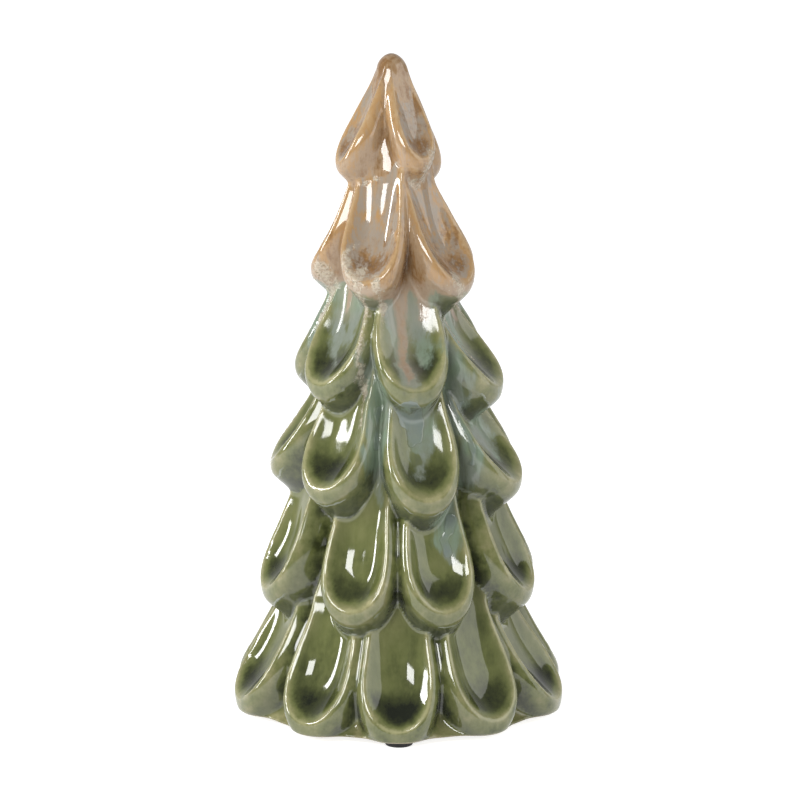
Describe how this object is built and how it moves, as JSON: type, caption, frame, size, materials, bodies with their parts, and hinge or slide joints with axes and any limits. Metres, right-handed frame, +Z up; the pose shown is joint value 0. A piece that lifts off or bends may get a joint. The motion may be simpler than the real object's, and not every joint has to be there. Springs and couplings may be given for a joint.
{
  "type": "christmas tree figurine",
  "caption": "Hollow glazed ceramic conifer built of overlapping tiers of scooped, spoon-shaped leaves with rounded lips, standing on small stick-on foot pads.",
  "frame": {"origin": "on the table, under the middle of the tree's widest tier", "axes": "+Z up towards the tip, -Y towards the front that the picture shows, +X to the viewer's right"},
  "size_m": [0.1145, 0.1166, 0.23],
  "materials": {
    "reactive_glaze": "glossy reactive glaze: translucent olive green that pools dark in the scoops, running up to honey brown and cream at the tip",
    "pad_rubber": "matt black"
  },
  "bodies": {
    "root": {"glazed_body": "reactive_glaze", "foot_pad_front": "pad_rubber", "foot_pad_right": "pad_rubber", "foot_pad_back": "pad_rubber", "foot_pad_left": "pad_rubber"}
  },
  "joints": []
}
